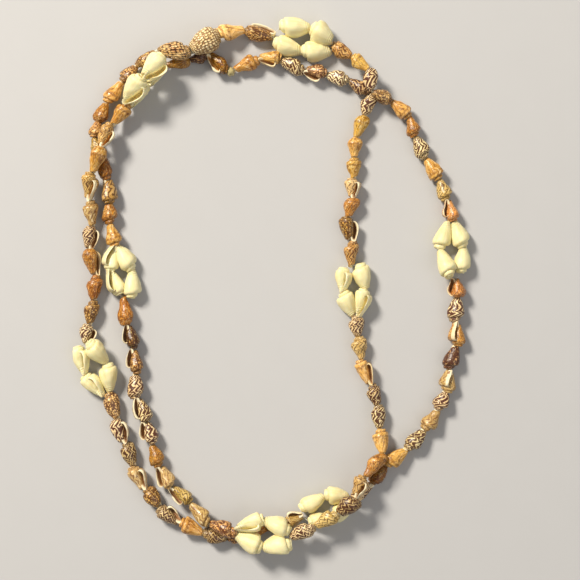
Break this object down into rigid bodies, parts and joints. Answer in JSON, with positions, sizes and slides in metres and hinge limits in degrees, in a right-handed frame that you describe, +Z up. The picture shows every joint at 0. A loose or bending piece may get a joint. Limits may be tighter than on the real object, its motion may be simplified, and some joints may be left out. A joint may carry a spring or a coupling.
{
  "type": "shell necklace",
  "caption": "Long necklace of small brown patterned shells on clear doubled thread, with rosettes of white shells, laid down in a doubled loop.",
  "frame": {"origin": "centre of the lying loop's box, on the surface it lies on", "axes": "+Z up from the surface; +Y along the loop's long way, towards the end with the knot; +X to the right seen from above"},
  "size_m": [0.1904, 0.2556, 0.0186],
  "materials": {
    "white_shell": "satin",
    "brown_shell": "satin",
    "pale_brown_shell": "satin",
    "nylon": "gloss",
    "knot_nylon": "gloss"
  },
  "bodies": {
    "root": {"rosette_1_shell_1": "white_shell", "rosette_1_shell_2": "white_shell", "rosette_1_shell_3": "white_shell", "rosette_1_shell_4": "white_shell", "rosette_2_shell_1": "white_shell", "rosette_2_shell_2": "white_shell", "rosette_2_shell_3": "white_shell", "rosette_2_shell_4": "white_shell", "rosette_3_shell_1": "white_shell", "rosette_3_shell_2": "white_shell", "rosette_3_shell_3": "white_shell", "rosette_3_shell_4": "white_shell", "rosette_4_shell_1": "white_shell", "rosette_4_shell_2": "white_shell", "rosette_4_shell_3": "white_shell", "rosette_4_shell_4": "white_shell", "rosette_5_shell_1": "white_shell", "rosette_5_shell_2": "white_shell", "rosette_5_shell_3": "white_shell", "rosette_5_shell_4": "white_shell", "rosette_6_shell_1": "white_shell", "rosette_6_shell_2": "white_shell", "rosette_6_shell_3": "white_shell", "rosette_6_shell_4": "white_shell", "rosette_7_shell_1": "white_shell", "rosette_7_shell_2": "white_shell", "rosette_7_shell_3": "white_shell", "rosette_7_shell_4": "white_shell", "rosette_8_shell_1": "white_shell", "rosette_8_shell_2": "white_shell", "rosette_8_shell_3": "white_shell", "rosette_8_shell_4": "white_shell", "brown_shells_a": "brown_shell", "brown_shells_b": "pale_brown_shell", "thread_left": "nylon", "thread_right": "nylon", "knot": "knot_nylon"}
  },
  "joints": []
}
